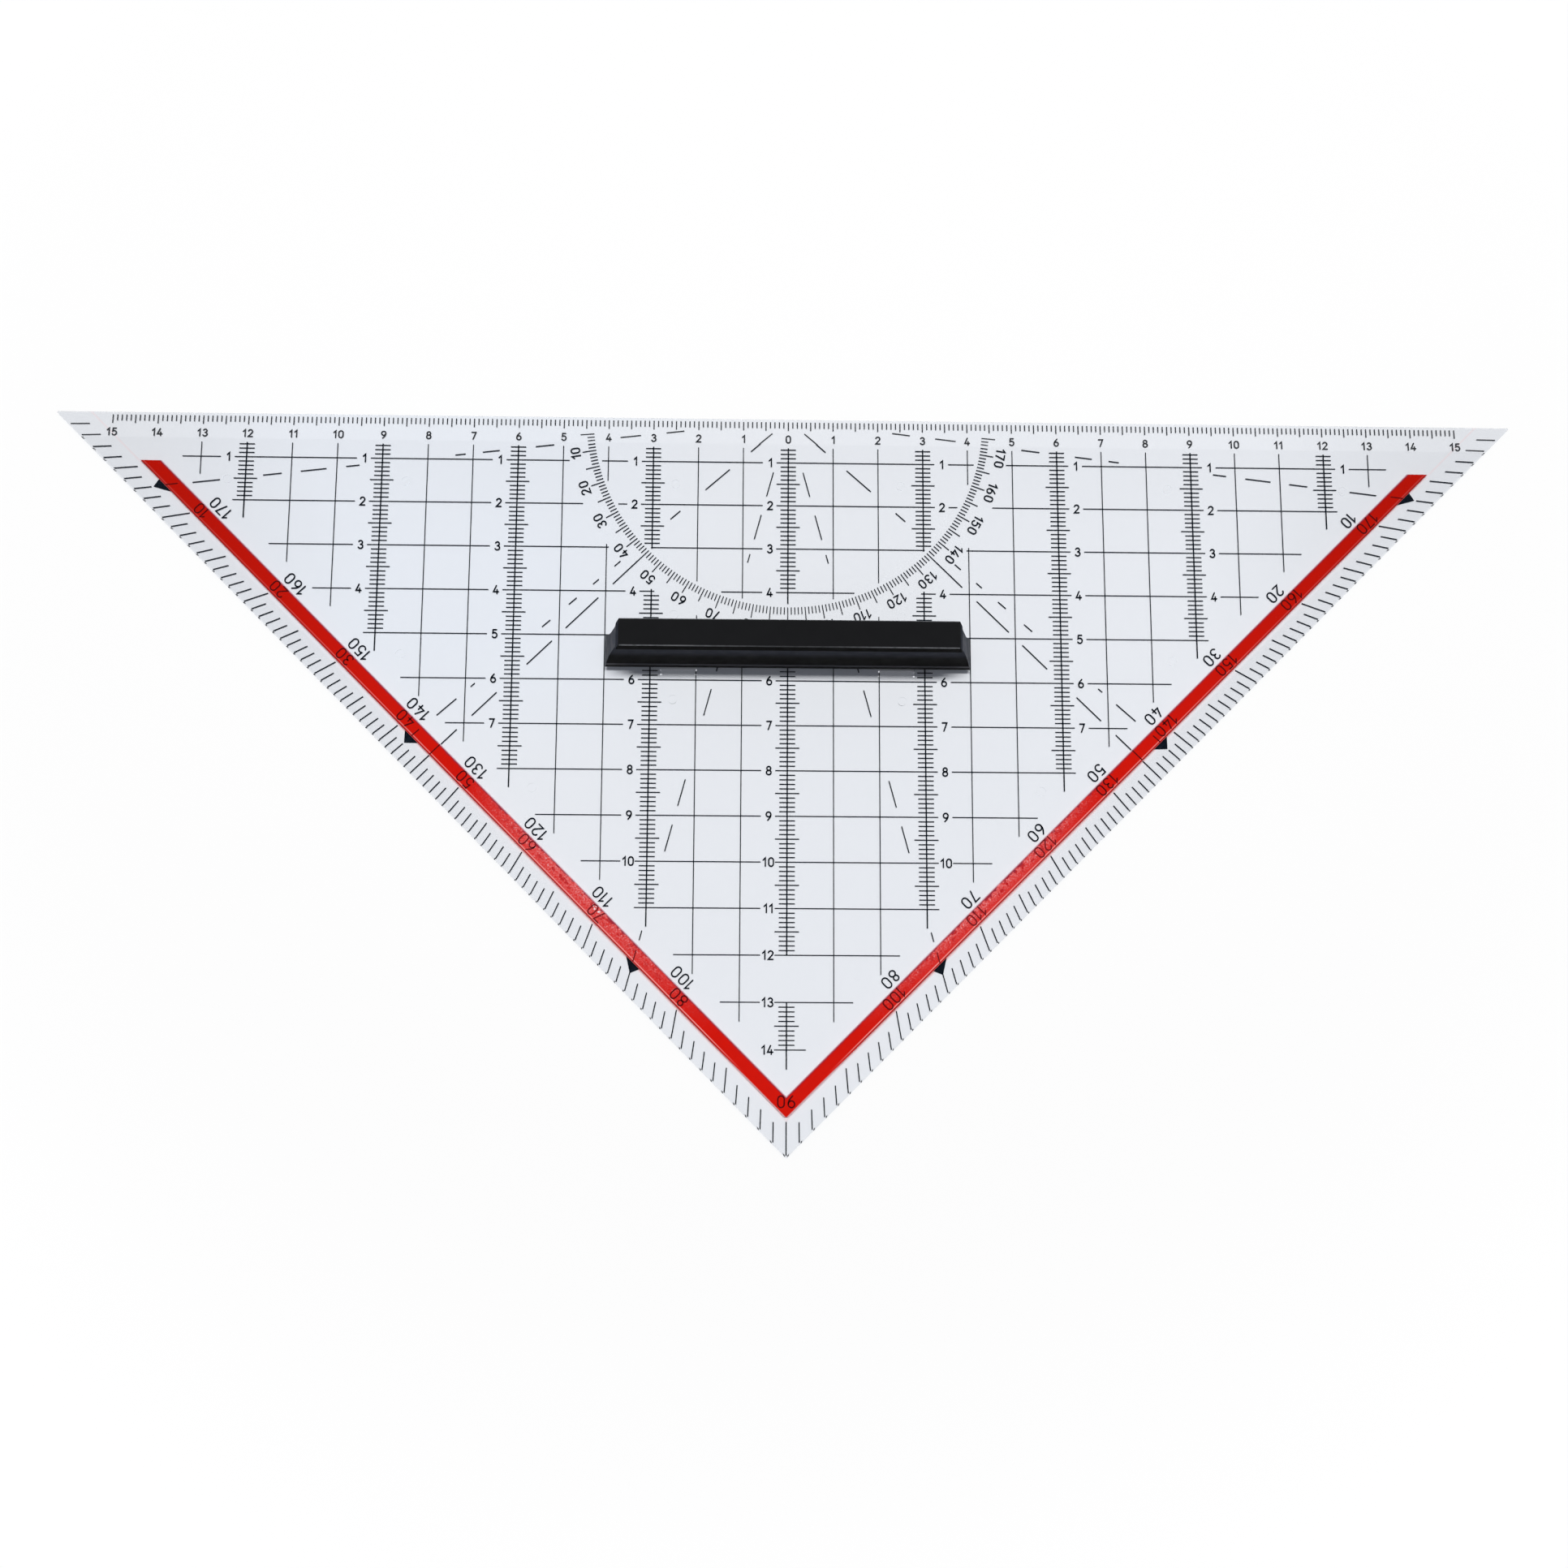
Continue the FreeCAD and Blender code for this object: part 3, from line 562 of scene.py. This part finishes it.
def ribbon_sections(path, closed):
    """(left, right) edge points along a pen stroke. An open stroke gets round ends."""
    half = NUMERAL_PEN / 2
    count = len(path)
    sections = []
    for i, point in enumerate(path):
        before = path[i - 1] if closed or i else point
        after = path[(i + 1) % count] if closed or i < count - 1 else point
        side = sideways(before, point, after) * half
        sections.append((point + side, point - side))
    if closed:
        return sections
    first, last = (path[1] - path[0]).normalized(), (path[-1] - path[-2]).normalized()
    start = round_end(path[0], -first, Vector((-first.y, first.x)), half)
    finish = round_end(path[-1], last, Vector((-last.y, last.x)), half)
    return start[::-1] + sections + finish


def add_ribbon(mesh, sections, closed, top, depth):
    """A flat closed bar through the sections, with its upper side at height top, in millimetres."""
    rings = []
    for left, right in sections:
        corners = [(left, top), (right, top), (right, top - depth), (left, top - depth)]
        rings.append([mesh.verts.new((p.x * MM, p.y * MM, z * MM)) for p, z in corners])
    pairs = list(zip(rings, rings[1:]))
    if closed:
        pairs.append((rings[-1], rings[0]))
    else:
        mesh.faces.new(rings[0])
        mesh.faces.new(rings[-1][::-1])
    for a, b in pairs:
        for i in range(4):
            j = (i + 1) % 4
            mesh.faces.new((a[i], b[i], b[j], a[j]))


def write(mesh, text, height, centre, turn, top):
    """Writes a text on the underside of the plate, centred at centre and turned by turn radians."""
    turning = Matrix.Rotation(turn, 2)
    for points, closed in written(text, height):
        path = [turning @ Vector(p) + Vector(centre) for p in points]
        add_ribbon(mesh, ribbon_sections(path, closed), closed, top, INK_DEPTH - INK_OVERLAP)


def new_object(name, mesh, material):
    """An object of that material in the scene, from a bmesh, which is used up."""
    data = bpy.data.meshes.new(name)
    mesh.to_mesh(data)
    mesh.free()
    data.materials.append(material)
    made = bpy.data.objects.new(name, data)
    bpy.context.scene.collection.objects.link(made)
    return made


def print_piece(name, texts, height, top, ink):
    """One printed piece from (text, centre, turn) triples."""
    mesh = bmesh.new()
    for text, centre, turn in texts:
        write(mesh, text, height, centre, turn, top)
    bmesh.ops.recalc_face_normals(mesh, faces=mesh.faces)
    piece = new_object(name, mesh, ink)
    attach(piece, "plate")


def edge_numerals():
    """Centimetres to either side of the zero point, along the ruling edge."""
    marks = range(-LAST_EDGE_NUMERAL, LAST_EDGE_NUMERAL + 1)
    return [(str(abs(k)), (k * GRID_PITCH, EDGE_NUMERALS_Y), 0.0) for k in marks]


def row_numerals():
    """The depth of each grid row in centimetres, beside every comb column."""
    texts = []
    for column in range(-GRID_REACH + 2 * GRID_PITCH, GRID_REACH, COMB_PITCH):
        shift = ROW_NUMERAL_OFFSET_RIGHT if column > 0 else ROW_NUMERAL_OFFSET_LEFT
        rows = (GRID_REACH - abs(column)) // GRID_PITCH - (1 if column else 0)
        for row in range(1, rows + 1):
            centre = (column + shift, -row * GRID_PITCH)
            if not RING_CLEAR[0] < math.hypot(*centre) < RING_CLEAR[1]:
                texts.append((str(row), centre, 0.0))
    return texts


def ring_numerals():
    """Every tenth degree outside the half circle, with the tops outwards."""
    texts = []
    for degrees in range(NUMERAL_STEP, 180, NUMERAL_STEP):
        ray = math.radians(180 + degrees)
        centre = (RING_NUMERAL_RADIUS * math.cos(ray), RING_NUMERAL_RADIUS * math.sin(ray))
        texts.append((str(degrees), centre, ray - math.pi / 2))
    return texts


def leg_point(degrees, inset, side):
    """Where the ray at that angle below the ruling edge meets a line at that inset from a leg. side is -1 for
    the left leg and 1 for the right one."""
    ray = math.radians(degrees)
    reach = (HALF_EDGE - inset * math.sqrt(2)) / (math.cos(ray) + math.sin(ray))
    return side * reach * math.cos(ray), -reach * math.sin(ray)


def leg_numerals(inset, left, right):
    """Every tenth degree along both legs. left and right give the number from the angle at that leg."""
    texts = []
    for degrees in range(NUMERAL_STEP, 90, NUMERAL_STEP):
        for side, number in ((-1, left), (1, right)):
            turn = math.radians(-90 + side * 45) - math.pi / 2
            texts.append((str(number(degrees)), leg_point(degrees, inset, side), turn))
    return texts


def from_this_tip(degrees):
    """The angle from the ruling edge on the numeral's own side."""
    return degrees


def from_other_tip(degrees):
    """The angle from the ruling edge on the far side."""
    return 180 - degrees


# ---------------------------------------------------------------- dressing the part


def dress(node, material):
    """Gives a CAD node one material in all its slots."""
    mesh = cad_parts[node].data
    if not mesh.materials:
        mesh.materials.append(material)
    for index in range(len(mesh.materials)):
        mesh.materials[index] = material


def print_numerals(ink):
    """All the printed numerals, in one piece for each row."""
    inner_row = leg_numerals(LEG_INNER_ROW_INSET, from_other_tip, from_this_tip)
    band_row = leg_numerals(LEG_BAND_ROW_INSET, from_this_tip, from_other_tip)
    band_row.append(("90", (0.0, CORNER_NUMERAL_Y), math.pi))
    print_piece("edge_numerals", edge_numerals(), EDGE_NUMERAL_HEIGHT, PRINT_TOP, ink)
    print_piece("row_numerals", row_numerals(), ROW_NUMERAL_HEIGHT, PRINT_TOP, ink)
    print_piece("ring_numerals", ring_numerals(), RING_NUMERAL_HEIGHT, PRINT_TOP, ink)
    print_piece("leg_numerals_inner", inner_row, LEG_NUMERAL_HEIGHT, PRINT_TOP, ink)
    print_piece("leg_numerals_over_band", band_row, LEG_NUMERAL_HEIGHT, OVER_BAND_TOP, ink)


# ---------------------------------------------------------------- floor, lamp, world and camera

WHITE = (1.0, 1.0, 1.0, 1)

FLOOR_COLOUR = (0.9, 0.9, 0.9, 1)
FLOOR_HALF = 6.0         # in metres, like all distances in this section that don't say millimetres
FLOOR_DROP = 0.02        # the floor lies this little below the pips' ends, in millimetres
FLOOR_GLOW = 0.025       # what the camera sees on top of the lamp's light, so that an open floor reads white
OUTER_GLOW = 3 * FLOOR_GLOW      # the same outside the part's outline
OUTER_STARTS = (0.16, 0.32)      # from the part's origin
FAR_GLOW = 1.0           # the same far from the part, where the lamp's light falls off
FAR_STARTS = (0.4, 2.5)

# Light through the grip's slots, with its places and soft edges in millimetres.
SLOT_MIDDLE_X = 23.8
SLOT_HALF = 3.9
SLOT_LIGHT_Y = (-58.75, -57.72)
SLOT_GLOW = 0.045
SLOT_RIM_GLOW = 0.10
SLOT_CORNER_GLOW = 0.8

WORLD_LIGHT = 0.17       # what a tent's walls and roof add to the lamp's light
COOL = (0.93, 0.98, 1.12, 1)     # the colour of that light
TENT_SIDES = 1.0         # the same tent as it is seen: white walls and a grey roof
TENT_TOP = 0.03
ROOF_STARTS = (0.72, 0.88)       # how far up a ray looks

LAMP_PLACE = (0.0, 0.30, 3.0)
LAMP_SIZE = (1.5, 0.25)
LAMP_POWER = 86.5
LAMP_AIM = (0, -0.06, 0)
WARM = (1.0, 0.991, 0.965)       # the colour of the lamp's light, which makes the sum with the tent's white

CAMERA_PLACE = (-0.01068, -0.16989, 0.43676)
CAMERA_RIGHT = (0.99972, 0.00353, 0.02360)
CAMERA_BACK = (-0.02246, -0.19559, 0.98043)
CAMERA_LENS = 47.29      # in millimetres, like the sensor's width
CAMERA_SENSOR = 36.0
CAMERA_CLIP = (0.01, 50.0)


def seen_directly(tree):
    """1 for rays from the camera, from gloss and through glass, else 0."""
    path = add(tree, "LightPath")
    seen = maths(tree, "MAXIMUM", path.outputs["Is Camera Ray"], path.outputs["Is Glossy Ray"])
    return maths(tree, "MAXIMUM", seen, path.outputs["Is Transmission Ray"])


def slot_light(tree):
    """What the grip's slots throw into its shadow on the floor: faint patches with a bright rim and bright
    corners."""
    x, y, _ = xyz(tree, place(tree))
    off_middle = maths(tree, "SUBTRACT", maths(tree, "ABSOLUTE", x), SLOT_MIDDLE_X * MM)
    across = maths(tree, "MULTIPLY", maths(tree, "ABSOLUTE", off_middle), 1 / MM)
    ahead = maths(tree, "MULTIPLY", maths(tree, "SUBTRACT", SLOT_LIGHT_Y[1] * MM, y), 1 / MM)
    depth = SLOT_LIGHT_Y[1] - SLOT_LIGHT_Y[0]
    patch = product(tree, fade(tree, across, SLOT_HALF - 0.05, SLOT_HALF + 0.05),
                    stretch(tree, ahead, (-0.15, -0.05), (depth, depth + 0.1)))
    rim = product(tree, patch, line_at(tree, ahead, 0.0, 0.05, 0.15))
    end = line_at(tree, across, SLOT_HALF - 0.1, 0.08, 0.25)
    back, front = line_at(tree, ahead, 0.0, 0.08, 0.25), line_at(tree, ahead, depth, 0.05, 0.2)
    corner = product(tree, end, maths(tree, "MAXIMUM", back, front))
    light = maths(tree, "MULTIPLY_ADD", rim, SLOT_RIM_GLOW, maths(tree, "MULTIPLY", patch, SLOT_GLOW))
    return maths(tree, "MULTIPLY_ADD", corner, SLOT_CORNER_GLOW, light)


def pale_floor():
    """A matt floor that keeps shadows and reads white where it is open."""
    material, tree = new_material("pale_floor")
    matt = add(tree, "BsdfDiffuse", Color=FLOOR_COLOUR, Roughness=0.0)
    away = add(tree, "VectorMath", {"operation": "LENGTH"}, Vector=place(tree)).outputs["Value"]
    level = maths(tree, "MAXIMUM", smooth_step(tree, away, *OUTER_STARTS, FLOOR_GLOW, OUTER_GLOW),
                  smooth_step(tree, away, *FAR_STARTS, 0.0, FAR_GLOW))
    level = maths(tree, "ADD", level, slot_light(tree))
    glow = add(tree, "Emission", Color=WHITE, Strength=maths(tree, "MULTIPLY", seen_directly(tree), level))
    show(tree, join_shaders(tree, "AddShader", matt, glow))

    mesh = bmesh.new()
    bmesh.ops.create_grid(mesh, x_segments=1, y_segments=1, size=FLOOR_HALF,
                          matrix=Matrix.Translation((0, 0, -FLOOR_DROP * MM)))
    floor = new_object("floor", mesh, material)


def pale_world():
    """A tent's soft light from all round. Camera, gloss and glass see its walls white and its roof grey."""
    world = bpy.data.worlds.new("studio")
    bpy.context.scene.world = world
    world.use_nodes = True
    tree = world.node_tree
    tree.nodes.clear()
    up = xyz(tree, add(tree, "TexCoord").outputs["Generated"])[2]
    seen = seen_directly(tree)
    more = maths(tree, "SUBTRACT", smooth_step(tree, up, *ROOF_STARTS, TENT_SIDES, TENT_TOP), WORLD_LIGHT)
    level = maths(tree, "MULTIPLY_ADD", seen, more, WORLD_LIGHT)
    tent = add(tree, "Background", Color=mix_colour(tree, seen, COOL, WHITE), Strength=level)
    show(tree, tent, "OutputWorld")


def key_lamp():
    """A wide soft lamp above and behind the plate. It isn't mirrored in it."""
    light = bpy.data.lights.new("key", "AREA")
    light.shape = "RECTANGLE"
    light.size, light.size_y = LAMP_SIZE
    light.energy = LAMP_POWER
    light.color = WARM
    lamp = bpy.data.objects.new("key", light)
    lamp.location = LAMP_PLACE
    lamp.visible_glossy = lamp.visible_transmission = False
    lamp.rotation_mode = "QUATERNION"
    lamp.rotation_quaternion = (Vector(LAMP_AIM) - Vector(LAMP_PLACE)).to_track_quat("-Z", "Y")
    bpy.context.scene.collection.objects.link(lamp)


def camera():
    """The camera above and in front of the plate, looking down and a little back."""
    data = bpy.data.cameras.new("camera")
    data.lens = CAMERA_LENS
    data.sensor_width = CAMERA_SENSOR
    data.clip_start, data.clip_end = CAMERA_CLIP
    eye = bpy.data.objects.new("camera", data)
    right = Vector(CAMERA_RIGHT).normalized()
    back = Vector(CAMERA_BACK).normalized()
    turn = Matrix((right, back.cross(right), back)).transposed().to_4x4()
    eye.matrix_world = Matrix.Translation(CAMERA_PLACE) @ turn
    bpy.context.scene.collection.objects.link(eye)
    bpy.context.scene.camera = eye


INK = printed_ink()
OWN_MATERIALS = {"plate": clear_acrylic(), "degree_band": red_strip(), "grip": black_moulding()}
for cad_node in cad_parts:
    dress(cad_node, OWN_MATERIALS.get(cad_node, INK))
print_numerals(INK)
pale_floor()
pale_world()
key_lamp()
camera()
bpy.context.scene.view_settings.view_transform = "Standard"
